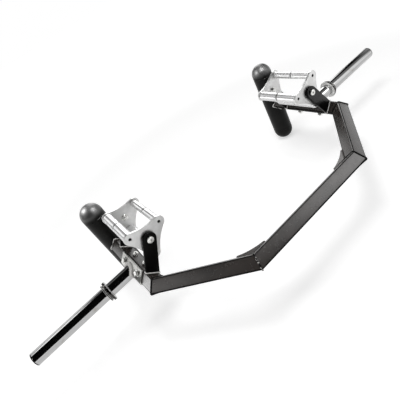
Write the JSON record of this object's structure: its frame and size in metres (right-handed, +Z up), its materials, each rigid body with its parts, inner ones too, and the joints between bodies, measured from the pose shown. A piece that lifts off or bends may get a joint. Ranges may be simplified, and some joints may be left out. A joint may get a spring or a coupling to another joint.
{
  "type": "open trap bar",
  "caption": "Open-ended trap bar: a C-shaped tube frame with plate sleeves, round-ended stands and rotating heads of knurled grips.",
  "frame": {"origin": "centre of the bounding box; the sleeve axis runs through it in height, 76 mm in front of it", "axes": "+X along the sleeves to the right, +Y towards the open end, +Z up"},
  "size_m": [1.9, 0.7204, 0.4124],
  "materials": {
    "paint": "gloss",
    "rubber": "satin",
    "chrome": "polished",
    "aluminium": "satin",
    "zinc": "zinc plated",
    "bronze": "machined",
    "plastic": "matte"
  },
  "bodies": {
    "frame": {"back_tube": "paint", "left_diagonal_tube": "paint", "left_arm_tube": "paint", "left_corner_gusset": "paint", "left_sleeve": "chrome", "left_collar": "chrome", "left_sleeve_plug": "plastic", "left_saddle": "zinc", "left_stand_tube": "rubber", "left_stand_upper_cap": "rubber", "left_stand_lower_cap": "rubber", "left_saddle_bolt_upper_rear": "zinc", "left_saddle_bolt_upper_front": "zinc", "left_saddle_bolt_lower_rear": "zinc", "left_saddle_bolt_lower_front": "zinc", "left_rear_upright": "paint", "left_rear_pivot_bolt": "zinc", "left_rear_pivot_nut": "zinc", "left_front_upright": "paint", "left_front_pivot_bolt": "zinc", "left_front_pivot_nut": "zinc", "right_diagonal_tube": "paint", "right_arm_tube": "paint", "right_corner_gusset": "paint", "right_sleeve": "chrome", "right_collar": "chrome", "right_sleeve_plug": "plastic", "right_saddle": "zinc", "right_stand_tube": "rubber", "right_stand_upper_cap": "rubber", "right_stand_lower_cap": "rubber", "right_saddle_bolt_upper_rear": "zinc", "right_saddle_bolt_upper_front": "zinc", "right_saddle_bolt_lower_rear": "zinc", "right_saddle_bolt_lower_front": "zinc", "right_rear_upright": "paint", "right_rear_pivot_bolt": "zinc", "right_rear_pivot_nut": "zinc", "right_front_upright": "paint", "right_front_pivot_bolt": "zinc", "right_front_pivot_nut": "zinc"},
    "left_head": {"left_rear_star_plate": "aluminium", "left_rear_pivot_bush": "bronze", "left_front_star_plate": "aluminium", "left_front_pivot_bush": "bronze", "left_thin_grip": "chrome", "left_medium_grip": "chrome", "left_thick_grip": "chrome"},
    "right_head": {"right_rear_star_plate": "aluminium", "right_rear_pivot_bush": "bronze", "right_front_star_plate": "aluminium", "right_front_pivot_bush": "bronze", "right_thin_grip": "chrome", "right_medium_grip": "chrome", "right_thick_grip": "chrome"}
  },
  "joints": [
    {"name": "left_head_turn", "type": "hinge", "parent": "frame", "child": "left_head", "pos_m": [-0.4245, 0.07604, 0.129], "axis": [0, 1, 0], "continuous": true},
    {"name": "right_head_turn", "type": "hinge", "parent": "frame", "child": "right_head", "pos_m": [0.4245, 0.07604, 0.129], "axis": [0, 1, 0], "continuous": true}
  ]
}
